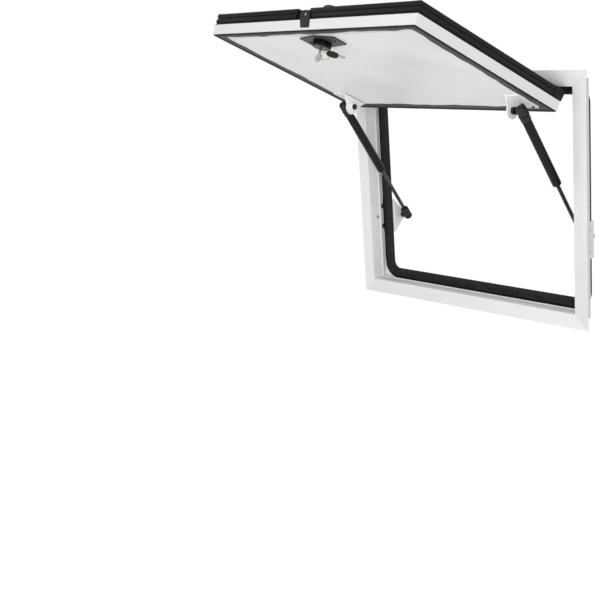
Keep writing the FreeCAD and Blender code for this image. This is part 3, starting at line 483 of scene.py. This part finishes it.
# Heads of one kind, set on points by their facing direction and turned at random by the seed.
def fastenerTree(kind):
    tree = bpy.data.node_groups.new(kind + "_heads", "GeometryNodeTree")
    tree.interface.new_socket("Geometry", in_out="INPUT", socket_type="NodeSocketGeometry")
    for name, socketType in headInputs.items():
        tree.interface.new_socket(name, in_out="INPUT", socket_type=socketType)
    tree.interface.new_socket("Geometry", in_out="OUTPUT", socket_type="NodeSocketGeometry")
    given = addNode(tree, "NodeGroupInput").outputs
    size = addNode(tree, "ShaderNodeCombineXYZ",
                   links={"X": given["Radius"], "Y": given["Radius"], "Z": given["Height"]}).outputs[0]

    # Brings a unit shape to its shares of the head's size.
    def shaped(unit, shares, lift):
        scale = addNode(tree, "ShaderNodeVectorMath", {"operation": "MULTIPLY"}, {1: shares}, {0: size})
        shift = addNode(tree, "ShaderNodeVectorMath", {"operation": "MULTIPLY"}, {1: (0, 0, lift)}, {0: size})
        return addNode(tree, "GeometryNodeTransform", links={
            "Geometry": unit.outputs["Mesh"], "Scale": scale.outputs[0],
            "Translation": shift.outputs[0]}).outputs[0]

    joined = addNode(tree, "GeometryNodeJoinGeometry")
    for drum, ball, isEnd in headParts[kind]:
        shapes = []
        if drum:
            sides, across, tall, lift = drum
            unit = addNode(tree, "GeometryNodeMeshCylinder",
                           values={"Vertices": sides, "Radius": 1.0, "Depth": 1.0})
            shapes.append(shaped(unit, (across, across, tall), lift))
        if ball:
            across, tall, lift = ball
            unit = addNode(tree, "GeometryNodeMeshUVSphere", values={
                "Segments": headLook["ballSegments"], "Rings": headLook["ballRings"], "Radius": 1.0})
            shapes.append(shaped(unit, (across, across, tall), lift))
        part = shapes[0]
        if len(shapes) > 1:
            common = addNode(tree, "GeometryNodeMeshBoolean", {"operation": "INTERSECT"})
            for shape in shapes:
                tree.links.new(shape, common.inputs["Mesh 2"])
            part = common.outputs["Mesh"]
        if kind == "pan":
            cut = addNode(tree, "GeometryNodeMeshBoolean", {"operation": "DIFFERENCE"},
                          links={"Mesh 1": part})
            for wide, deep in headLook["crossSlot"]:
                bar = shaped(addNode(tree, "GeometryNodeMeshCube"), (wide, deep, 1), 1)
                tree.links.new(bar, cut.inputs["Mesh 2"])
            part = cut.outputs["Mesh"]
        marked = addNode(tree, "GeometryNodeStoreNamedAttribute", {"data_type": "BOOLEAN", "domain": "FACE"},
                         {"Name": "isEnd", "Value": isEnd}, {"Geometry": part})
        tree.links.new(marked.outputs[0], joined.inputs[0])
    facing = addNode(tree, "GeometryNodeInputNamedAttribute", {"data_type": "FLOAT_VECTOR"},
                     {"Name": "facing"})
    upright = addNode(tree, "FunctionNodeAlignRotationToVector", {"axis": "Z"},
                      links={"Vector": facing.outputs["Attribute"]})
    turn = addNode(tree, "FunctionNodeRandomValue", {"data_type": "FLOAT"}, {2: 0.0, 3: math.tau},
                   {"Seed": given["Seed"]})
    spin = addNode(tree, "FunctionNodeAxisAngleToRotation", links={"Angle": turn.outputs[1]})
    placed = addNode(tree, "FunctionNodeRotateRotation", {"rotation_space": "LOCAL"},
                     links={"Rotation": upright.outputs[0], "Rotate By": spin.outputs[0]})
    heads = addNode(tree, "GeometryNodeInstanceOnPoints", links={
        "Points": given["Geometry"], "Instance": joined.outputs[0], "Rotation": placed.outputs[0]})
    real = addNode(tree, "GeometryNodeRealizeInstances", links={"Geometry": heads.outputs[0]})
    whole = addNode(tree, "GeometryNodeSetMaterial",
                    links={"Geometry": real.outputs[0], "Material": given["Finish"]})
    ends = addNode(tree, "GeometryNodeInputNamedAttribute", {"data_type": "BOOLEAN"}, {"Name": "isEnd"})
    tips = addNode(tree, "GeometryNodeSetMaterial", links={
        "Geometry": whole.outputs[0], "Material": given["End Finish"],
        "Selection": ends.outputs["Attribute"]})
    addNode(tree, "NodeGroupOutput", links={"Geometry": tips.outputs[0]})
    return tree


fastenerTrees = {kind: fastenerTree(kind) for kind in headParts}

# Where the holes are: distances from the faces and edges of the pieces that the fasteners hold, taken on
# the right-hand side and on the shut door.
holes = {"lipStep": 2.0, "jambScrewDepth": 35.4, "jambRivet": (19, 162.3),
         "bracketFromFront": 5.0, "bracketFromEnds": (13, 15), "bracketWall": 3.0,
         "leafThick": 2.0, "frameLeafDepth": 13, "doorLeafDepth": 22, "hingePitch": 110,
         "footThick": 3.0, "footFromCorner": ((12, 21.75), (27, 7.75)),
         "plateReach": 33, "catch": (-6.3, 7.0), "catchFace": 25.6}
jambX = millimetreBox("frame_right_rail", asBuilt)[0][0]
bracketLow, bracketHigh = millimetreBox("right_frame_bracket", asBuilt)
bracketHoles = (bracketHigh[2] - holes["bracketFromEnds"][1], bracketLow[2] + holes["bracketFromEnds"][0])
bracketDepth = bracketLow[1] + holes["bracketFromFront"]
bracketInside = bracketLow[0] + holes["bracketWall"]
_, studDepth, studHeight = [(a + b) / 2 for a, b in zip(*millimetreBox("right_frame_stud", asBuilt))]
rivetDepth, rivetHeight = holes["jambRivet"]
frameLeafFace = millimetreBox("hinge_frame_leaf", asBuilt)[1][2] - holes["leafThick"]
doorLeafFace = millimetreBox("hinge_door_leaf", doorOpen)[0][2] + holes["leafThick"]
hingeHoles = [holes["hingePitch"] * k for k in range(-2, 3)]
footLow, footHigh = millimetreBox("right_door_bracket", doorOpen)
footHoles = [(footLow[0] + x, footHigh[2] - z) for x, z in holes["footFromCorner"]]
footFace = footLow[1] + holes["footThick"]
_, ballDepth, ballHeight = doorOpen.inverted() @ Vector(jointOf["left_tube_pivot"]["pos_m"]) / mm
plateLow, plateHigh = millimetreBox("lock_plate", doorOpen)

# Each row: kind, body, radius and height, the finishes of head and end, slot, and the spots as place and
# facing. Door rows give the spots on the shut door.
fasteners = {
    "jamb_screws": {
        # Their bright zinc end is a small disc on top of the black dome: a painted highlight.
        "kind": "cap", "body": "frame", "size": (5.0, 2.2), "look": ("nylon", "zincPlate"),
        "slot": "black_plastic",
        "spots": [((s * (jambX + holes["lipStep"]), holes["jambScrewDepth"], z), (-s, 0, 0))
                  for s in bothSides for z in bracketHoles]},
    "jamb_rivets": {
        "kind": "rivet", "body": "frame", "size": (3.4, 1.2), "look": ("dullRivet", "dullRivet"),
        "slot": "zinc_steel",
        "spots": [((s * jambX, rivetDepth, rivetHeight), (-s, 0, 0)) for s in bothSides]},
    "frame_bracket_rivets": {
        "kind": "rivet", "body": "frame", "size": (3.4, 1.4), "look": ("dullRivet", "dullRivet"),
        "slot": "zinc_steel",
        "spots": [((s * bracketHigh[0], bracketDepth, z), (s, 0, 0))
                  for s in bothSides for z in bracketHoles]},
    "frame_stud_nuts": {
        "kind": "nut", "body": "frame", "size": (7.6, 6.6), "look": ("nylon", "nylon"),
        "slot": "zinc_steel",
        "spots": [((s * bracketInside, studDepth, studHeight), (s, 0, 0)) for s in bothSides]},
    "hinge_frame_screws": {
        "kind": "pan", "body": "frame", "size": (3.6, 1.6), "look": ("blackEnamel", "blackEnamel"),
        "slot": "hinge_black",
        "spots": [((x, holes["frameLeafDepth"], frameLeafFace), (0, 0, -1)) for x in hingeHoles]},
    "hinge_door_screws": {
        "kind": "pan", "body": "door", "size": (3.6, 1.6), "look": ("blackEnamel", "blackEnamel"),
        "slot": "hinge_black",
        "spots": [((x, holes["doorLeafDepth"], doorLeafFace), (0, 0, 1)) for x in hingeHoles]},
    "foot_screws": {
        "kind": "pan", "body": "door", "size": (3.2, 2.0), "look": ("nylon", "nylon"),
        "slot": "black_plastic",
        "spots": [((s * x, footFace, z), (0, 1, 0)) for s in bothSides for x, z in footHoles]},
    "door_stud_nuts": {
        "kind": "nut", "body": "door", "size": (7.6, 6.6), "look": ("powderCoat", "nylon"),
        "slot": "zinc_steel",
        "spots": [((s * footLow[0], ballDepth, ballHeight), (-s, 0, 0)) for s in bothSides]},
    "catch_rivet": {
        "kind": "rivet", "body": "door", "size": (2.6, 1.0), "look": ("zincPlate", "zincPlate"),
        "slot": "zinc_steel",
        "spots": [((*holes["catch"], holes["catchFace"]), (0, 0, -1))]},
    "lock_plate_screws": {
        "kind": "pan", "body": "door", "size": (2.8, 1.4), "look": ("nylon", "nylon"),
        "slot": "black_plastic",
        "spots": [((s * holes["plateReach"], plateHigh[1], lockHeight), (0, 1, 0)) for s in bothSides]},
}


def setFasteners(name, row, seed):
    place = doorOpen if row["body"] == "door" else asBuilt
    turn = place.to_3x3()
    points = bpy.data.meshes.new(name + "_points")
    points.from_pydata([place @ (Vector(spot) * mm) for spot, _ in row["spots"]], [], [])
    facing = points.attributes.new("facing", "FLOAT_VECTOR", "POINT")
    for item, (_, direction) in zip(facing.data, row["spots"]):
        item.vector = turn @ Vector(direction)
    holder = placeObject(name + "_points", points)
    heads = holder.modifiers.new("heads", "NODES")
    heads.node_group = fastenerTrees[row["kind"]]
    radius, height = row["size"]
    finish, endFinish = row["look"]
    values = {"Radius": radius * mm, "Height": height * mm, "Seed": seed,
              "Finish": finishes[finish], "End Finish": finishes[endFinish]}
    for socket in heads.node_group.interface.items_tree:
        if socket.in_out == "INPUT" and socket.name in values:
            heads[socket.identifier] = values[socket.name]
    mesh = plainMesh(holder)
    shadeSmooth(mesh, headLook["sharpAngle"])
    addPiece(name, mesh, row["body"], row["slot"])


firstSeed = 11
for seed, (name, row) in enumerate(fasteners.items(), start=firstSeed):
    setFasteners(name, row, seed)
print("fasteners set:", len(fasteners))

# A flat outline is drawn in x and y: these stand it up across the door, or along its depth.
planeXZ = Matrix(((1, 0, 0, 0), (0, 0, -1, 0), (0, 1, 0, 0), (0, 0, 0, 1)))
planeYZ = Matrix(((0, 0, 1, 0), (1, 0, 0, 0), (0, 1, 0, 0), (0, 0, 0, 1)))


def shiftMm(x, y, z):
    return Matrix.Translation(Vector((x, y, z)) * mm)


curveSharp = 35


# Turns a curve into a plain mesh with one finish, moved to its place.
def meshFromCurve(curve, material, place):
    mesh = plainMesh(placeObject(curve.name + "_line", curve))
    mesh.transform(place)
    mesh.materials.clear()
    mesh.materials.append(material)
    shadeSmooth(mesh, curveSharp)
    return mesh


def addLine(curve, points, closed):
    line = curve.splines.new("POLY")
    line.points.add(len(points) - 1)
    line.use_cyclic_u = closed
    for point, place in zip(line.points, points):
        point.co = (*(Vector(place) * mm), 1)


# A flat slab with eased edges from an outline and its holes, half as thick each way.
def slab(name, outlines, half, edge, material, place):
    curve = bpy.data.curves.new(name, "CURVE")
    curve.dimensions = "2D"
    curve.fill_mode = "BOTH"
    curve.extrude = (half - edge) * mm
    curve.bevel_depth = edge * mm
    curve.bevel_resolution = 1
    curve.offset = -edge * mm
    for outline in outlines:
        addLine(curve, [(x, y, 0) for x, y in outline], True)
    return meshFromCurve(curve, material, place)


# A wire along points in space.
def wire(name, points, radius, closed, material, place):
    curve = bpy.data.curves.new(name, "CURVE")
    curve.dimensions = "3D"
    curve.bevel_depth = radius * mm
    curve.bevel_resolution = 2
    curve.use_fill_caps = not closed
    addLine(curve, points, closed)
    return meshFromCurve(curve, material, place)


def joinMeshes(name, meshes):
    shell = bmesh.new()
    for mesh in meshes:
        shell.from_mesh(mesh)
    joined = bpy.data.meshes.new(name)
    shell.to_mesh(joined)
    shell.free()
    joined.materials.append(meshes[0].materials[0])
    return joined


def arc(x, y, radius, first, last, steps):
    angles = (math.radians(first + (last - first) * k / steps) for k in range(steps + 1))
    return [(x + radius * math.cos(a), y + radius * math.sin(a)) for a in angles]


# A whole circle, without its first point again at the end.
def circle(x, y, radius, points=24):
    return arc(x, y, radius, 0, 360 - 360 / points, points - 1)


# A spring clip round each upper socket: a wire most of the way round that turns in at its ends.
socketClips = {"radius": 10.4, "wire": 0.5, "sweep": 285, "steps": 40, "below": 9.7, "tail": 2.6}


def makeClip(side, sign):
    along = Vector(jointOf[side + "_rod_slide"]["axis"])
    centre = Vector(jointOf[side + "_tube_pivot"]["pos_m"]) / mm - along * socketClips["below"]
    across = Vector((-sign, 0, 0))
    beside = along.cross(across)
    half = socketClips["sweep"] / 2
    bend = arc(0, 0, socketClips["radius"], 180 - half, 180 + half, socketClips["steps"])
    shrink = 1 - socketClips["tail"] / socketClips["radius"]
    start, stop = [(a * shrink, b * shrink) for a, b in (bend[0], bend[-1])]
    points = [centre + across * a + beside * b for a, b in [start] + bend + [stop]]
    mesh = wire(side + "_upper_clip", points, socketClips["wire"], False, finishes["blackEnamel"], asBuilt)
    addPiece(side + "_upper_clip", mesh, side + "_tube", "zinc_steel")


for side, sign in (("left", -1), ("right", 1)):
    makeClip(side, sign)
print("struts dressed")


# A thin dark wire along the foot of each door bracket is a painted shadow line where the bracket meets the
# panel.
footShadowLine = {"outside": 0.4, "above": 0.4, "shortBy": (1.25, 1.75), "radius": 0.6}


def makeFootShadowLines():
    across, depth = footLow[0] - footShadowLine["outside"], footLow[1] + footShadowLine["above"]
    ends = footLow[2] + footShadowLine["shortBy"][0], footHigh[2] - footShadowLine["shortBy"][1]
    lines = [wire("foot_line", [(sign * across, depth, z) for z in ends], footShadowLine["radius"], False,
                  finishes["softLip"], doorOpen) for sign in bothSides]
    addPiece("bracket_foot_shadow_lines", joinMeshes("bracket_foot_shadow_lines", lines), "door", "black_rubber")


makeFootShadowLines()


# A raised rib runs round the jamb in front of the recessed lip.
jambRib = {"from": 25.4, "corner": 0.5, "cornerSteps": 3, "step": 60,
           "section": [(-0.2, 0.4), (1.4, 0.6), (1.7, 1.1), (1.7, 2.4), (1.2, 3.0), (-0.2, 3.2)]}


def makeJambRib():
    leftHigh = millimetreBox("frame_left_rail", asBuilt)[1]
    rightLow = millimetreBox("frame_right_rail", asBuilt)[0]
    bottomHigh = millimetreBox("frame_bottom_rail", asBuilt)[1]
    topLow = millimetreBox("frame_top_rail", asBuilt)[0]
    trip = roundTrip((leftHigh[0], 0, bottomHigh[2]), (rightLow[0], 0, topLow[2]), jambRib["corner"], 0,
                     jambRib["step"], jambRib["cornerSteps"])
    mesh = sweptStrip("jamb_rib", trip, lambda along: jambRib["section"], jambRib["from"], asBuilt, True,
                      [finishes["powderCoat"]], lambda k: 0)
    addPiece("jamb_rib", mesh, "frame", "frame_white")


makeJambRib()


# The rim's square-cut ends at the hinge, which close its rounded corners there.
hingeEnds = {"outline": [(-5.8, 415), (-5.8, 439.5), (-1.3, 442.4), (2.5, 441.6), (16.3, 437.4), (16.3, 415)],
             "from": 255.0, "to": 276.5, "edge": 0.8}


def makeHingeEnds():
    half = (hingeEnds["to"] - hingeEnds["from"]) / 2
    ends = [slab("rim_end", [hingeEnds["outline"]], half, hingeEnds["edge"], finishes["rubber"],
                 doorOpen @ shiftMm(sign * (hingeEnds["from"] + half), 0, 0) @ planeYZ) for sign in bothSides]
    addPiece("rim_hinge_ends", joinMeshes("rim_hinge_ends", ends), "door", "black_rubber")


makeHingeEnds()


# The rim's corners at the free edge, nearly square, with the rim's ribs. Each layer: from, to, inset, edge.
rimCorners = {"layers": [(-5.7, 3.0, 0.05, 1.6), (5.0, 12.5, 0.05, 0.3), (14.5, 16.4, 0.05, 0.2),
                         (-5.0, 16.0, 2.0, 0.3)],
              "radius": 0.6, "arcSteps": 6, "reach": 21.0}


def makeRimCorners():
    low, high = millimetreBox("door_rim_seal", doorOpen)
    radius, reach = rimCorners["radius"], rimCorners["reach"]
    parts = []
    for sign in bothSides:
        for front, back, inset, edge in rimCorners["layers"]:
            right, base = high[0] - inset, low[2] + inset
            bend = arc(right - radius, base + radius, radius, -90, 0, rimCorners["arcSteps"])
            outline = [(high[0] - reach, base)] + bend + [(right, low[2] + reach)]
            half = (back - front) / 2
            place = doorOpen @ shiftMm(0, front + half, 0) @ planeXZ
            parts.append(slab("rim_corner", [[(sign * x, z) for x, z in outline]], half, edge,
                              finishes["rubber"], place))
    addPiece("rim_free_corners", joinMeshes("rim_free_corners", parts), "door", "black_rubber")


makeRimCorners()


# The catch: a leaning tab on the free edge with a neck and a rivet hole.
catchTab = {"outline": [(-15.5, -1.0), (-4.5, -1.2), (0.5, 2.5), (7, 10), (12, 31.6), (11, 32.6),
                        (-9.5, 32.2), (-10.8, 31.2), (-20, 10), (-20, 3)],
            "hole": 3.0, "front": 24.3, "thick": 2.2, "edge": 0.4}


def makeCatchTab():
    half = catchTab["thick"] / 2
    mesh = slab("catch_tab", [catchTab["outline"], circle(*holes["catch"], catchTab["hole"])], half,
                catchTab["edge"], finishes["nylon"], doorOpen @ shiftMm(0, 0, catchTab["front"] + half))
    piece = addPiece("catch_tab", mesh, "door", "black_plastic")
    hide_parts("latch_tab")


makeCatchTab()


# The lock's plate: a six-sided escutcheon, as large and as thick as the node.
lockPlate = {"shoulder": 17, "edge": 0.7, "hole": 6.3}


def makeLockPlate():
    reach, rise, shoulder = plateHigh[0], plateHigh[2] - lockHeight, lockPlate["shoulder"]
    outline = [(-reach, -shoulder), (0, -rise), (reach, -shoulder), (reach, shoulder), (0, rise),
               (-reach, shoulder)]
    half = (plateHigh[1] - plateLow[1]) / 2
    mesh = slab("lock_escutcheon", [outline, circle(0, 0, lockPlate["hole"])], half, lockPlate["edge"],
                finishes["greyNylon"], doorOpen @ shiftMm(0, plateLow[1] + half, lockHeight) @ planeXZ)
    piece = addPiece("lock_escutcheon", mesh, "door", "black_plastic")
    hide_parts("lock_plate")


makeLockPlate()


# The key in the lock, the ring and the spare with its moulded head, all in the lock's plane. Bow and eye:
# place and radius. Blade: half width and foot. Spare: its place, its lean, and its eye as distance along
# it and radius. Head: half length, half width, half thickness and edge.
keys = {"bow": (0, 69.8, 8.0), "bowSteps": 36, "blade": (3.0, 51.1), "eye": (3.6, 72.2, 1.7), "half": 1.0,
        "edge": 0.3, "ringWire": 0.8, "ringPoints": 36, "spare": (37, 64.3), "lean": 11.3,
        "spareEye": (-13.0, 2.1),
        "spareBlade": [(8, -2.8), (33, -2.8), (35, -0.6), (34, 2.8), (31, 2.8), (29.5, 1.2), (27.5, 2.6),
                       (25, 1.0), (23, 2.6), (20.5, 1.6), (18, 2.8), (8, 2.8)],
        "head": (16.5, 5.6, 2.2, 0.7), "headPower": 0.8, "headPoints": 48}


# An oval that is a little fuller at its shoulders than an ellipse.
def fullOval(long, broad, power, points):
    angles = (math.tau * k / points for k in range(points))
    return [(long * math.copysign(abs(math.cos(a)) ** power, math.cos(a)),
             broad * math.copysign(abs(math.sin(a)) ** power, math.sin(a))) for a in angles]


def makeKeys():
    inLock = doorOpen @ shiftMm(0, 0, lockHeight)
    nickel = finishes["keyNickel"]
    x, y, radius = keys["bow"]
    wide, foot = keys["blade"]
    swing = math.degrees(math.asin(wide / radius))
    bow = arc(x, y, radius, 270 - swing, -90 + swing, keys["bowSteps"])
    outline = [(-wide, foot)] + bow + [(wide, foot)]
    parts = [slab("key", [outline, circle(*keys["eye"])], keys["half"], keys["edge"], nickel, inLock)]
    turn = math.radians(keys["lean"])
    spareX, spareY = keys["spare"]
    place = inLock @ shiftMm(spareX, spareY, 0) @ Matrix.Rotation(turn, 4, "Z")
    parts.append(slab("spare", [keys["spareBlade"]], keys["half"], keys["edge"], nickel, place))
    # the ring goes through both eyes
    along, eyeRadius = keys["spareEye"]
    near = keys["eye"][:2]
    far = (spareX + along * math.cos(turn), spareY + along * math.sin(turn))
    middle = ((near[0] + far[0]) / 2, (near[1] + far[1]) / 2)
    heading = math.atan2(far[1] - near[1], far[0] - near[0])
    ring = [(middle[0] + a * math.cos(heading), middle[1] + a * math.sin(heading), b)
            for a, b in circle(0, 0, math.dist(near, far) / 2, keys["ringPoints"])]
    parts.append(wire("ring", ring, keys["ringWire"], True, nickel, inLock))
    piece = addPiece("keys_and_ring", joinMeshes("keys_and_ring", parts), "lock", "key_metal")
    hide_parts("lock_keys")
    long, broad, half, edge = keys["head"]
    oval = fullOval(long, broad, keys["headPower"], keys["headPoints"])
    head = slab("spare_head", [oval, circle(along, 0, eyeRadius)], half, edge, finishes["nylon"], place)
    addPiece("spare_key_head", head, "lock", "black_plastic")


makeKeys()
print("lock dressed")


# Lengths in metres here.
studio = {"floorDrop": 0.30, "floorHalf": 40.0, "floorLift": 0.55, "floorTone": "#F6F6F6", "ambient": 0.52,
          "key": {"place": (2.0, -3.2, 0.2), "aim": (0, 0, 0.25), "side": 2.8, "watts": 112}}


# Camera, glossy and transmission rays see plain white; the others light the object softly.
def seenDirectly(tree):
    path = addNode(tree, "ShaderNodeLightPath")
    both = addNode(tree, "ShaderNodeMath", {"operation": "MAXIMUM"},
                   links={0: path.outputs["Is Camera Ray"], 1: path.outputs["Is Glossy Ray"]})
    every = addNode(tree, "ShaderNodeMath", {"operation": "MAXIMUM"},
                    links={0: both.outputs[0], 1: path.outputs["Is Transmission Ray"]})
    return every.outputs[0]


def makeFloor():
    size = studio["floorHalf"]
    level = cadBox[0][2] - studio["floorDrop"]
    mesh = bpy.data.meshes.new("studio_floor")
    mesh.from_pydata([(-size, -size, level), (size, -size, level), (size, size, level), (-size, size, level)],
                     [], [(0, 1, 2, 3)])
    # matt paper, lifted to white where it is seen
    material, tree, shader = newMaterial("pale_floor_paper", {
        "Base Color": linear(studio["floorTone"]), "Roughness": 1.0, "Specular IOR Level": 0.0})
    share = addNode(tree, "ShaderNodeMath", {"operation": "MULTIPLY"}, {1: studio["floorLift"]},
                    {0: seenDirectly(tree)})
    white = addNode(tree, "ShaderNodeEmission", links={"Strength": share.outputs[0]})
    both = addNode(tree, "ShaderNodeAddShader", links={0: shader.outputs[0], 1: white.outputs[0]})
    tree.links.new(both.outputs[0], tree.nodes["Material Output"].inputs["Surface"])
    mesh.materials.append(material)
    placeObject("studio_floor", mesh)


def makeRoom():
    world = bpy.data.worlds.new("soft_room")
    world.use_nodes = True
    scene.world = world
    tree = world.node_tree
    soft = tree.nodes["Background"]
    soft.inputs["Color"].default_value = linear("#FFFFFF")
    soft.inputs["Strength"].default_value = studio["ambient"]
    white = addNode(tree, "ShaderNodeBackground", values={"Color": linear("#FFFFFF"), "Strength": 1.0})
    mix = addNode(tree, "ShaderNodeMixShader",
                  links={0: seenDirectly(tree), 1: soft.outputs[0], 2: white.outputs[0]})
    tree.links.new(mix.outputs[0], tree.nodes["World Output"].inputs["Surface"])


def makeKeyLight():
    lamp = bpy.data.lights.new("key_softbox", "AREA")
    lamp.energy = studio["key"]["watts"]
    lamp.size = studio["key"]["side"]
    key = placeObject("key_softbox", lamp)
    key.location = studio["key"]["place"]
    key.rotation_euler = (Vector(studio["key"]["aim"]) - key.location).to_track_quat("-Z", "Y").to_euler()


makeFloor()
makeRoom()
makeKeyLight()
print("studio made")

# The photo's camera, with its place in metres.
photoView = {"place": (1.6304, -1.82339, 0.63662), "yaw": 50.1728, "pitch": 13.9529, "roll": -4.0212,
             "lens": 70.2738, "sensor": 36.0}


def makeCamera():
    yaw, pitch, roll = (math.radians(photoView[k]) for k in ("yaw", "pitch", "roll"))
    ahead = Vector((-math.sin(yaw) * math.cos(pitch), math.cos(yaw) * math.cos(pitch), -math.sin(pitch)))
    right = Vector((math.cos(yaw), math.sin(yaw), 0))
    up = right.cross(ahead)
    leanRight = math.cos(roll) * right + math.sin(roll) * up
    leanUp = -math.sin(roll) * right + math.cos(roll) * up
    turn = Matrix((leanRight, leanUp, -ahead)).transposed()
    lens = bpy.data.cameras.new("photo_camera")
    lens.lens = photoView["lens"]
    lens.sensor_width = photoView["sensor"]
    camera = placeObject("photo_camera", lens)
    camera.matrix_world = Matrix.Translation(photoView["place"]) @ turn.to_4x4()
    scene.camera = camera


makeCamera()
scene.view_settings.view_transform = "Standard"
print("camera set")
